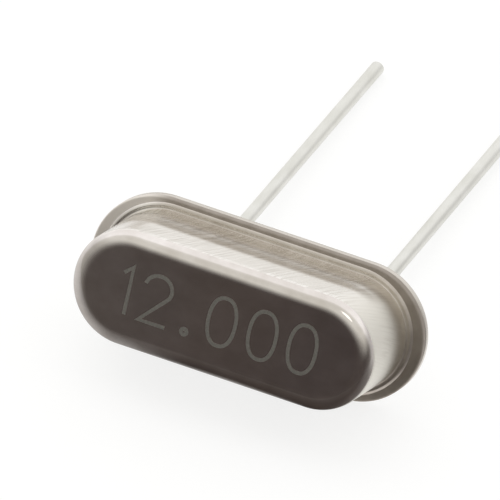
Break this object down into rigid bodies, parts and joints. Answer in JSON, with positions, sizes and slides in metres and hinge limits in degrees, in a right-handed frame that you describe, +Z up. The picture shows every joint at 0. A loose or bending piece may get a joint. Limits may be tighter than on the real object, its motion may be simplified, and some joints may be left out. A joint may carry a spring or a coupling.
{
  "type": "crystal oscillator",
  "caption": "Low-profile quartz crystal in a drawn metal cap with rounded ends, welded to a flanged base, with bent wire leads for a circuit board.",
  "frame": {"origin": "on the table that the unit lies on, under the middle of its bounding box", "axes": "+Z up; +X along the cap's length to its right end; the cap's top faces -Y and up, and the leads run back towards +Y"},
  "size_m": [0.0108, 0.0162, 0.0049],
  "materials": {
    "plated_cap": "nickel-plated drawn sheet, bright, with fine drawing lines down the walls",
    "plated_base": "nickel-plated steel, satin",
    "seal_glass": "dark fused glass, glossy",
    "lead_wire": "tinned wire, satin",
    "spring_sheet": "nickel silver sheet, satin",
    "quartz": "lapped clear quartz",
    "electrode_silver": "evaporated silver film",
    "silver_adhesive": "cured silver-filled adhesive"
  },
  "bodies": {
    "root": {"cap": "plated_cap", "base": "plated_base", "glass_seal_left": "seal_glass", "glass_seal_right": "seal_glass", "lead_left": "lead_wire", "lead_right": "lead_wire", "spring_clip_left": "spring_sheet", "spring_clip_right": "spring_sheet", "quartz_strip": "quartz", "electrode_top": "electrode_silver", "electrode_bottom": "electrode_silver", "adhesive_left": "silver_adhesive", "adhesive_right": "silver_adhesive"}
  },
  "joints": []
}
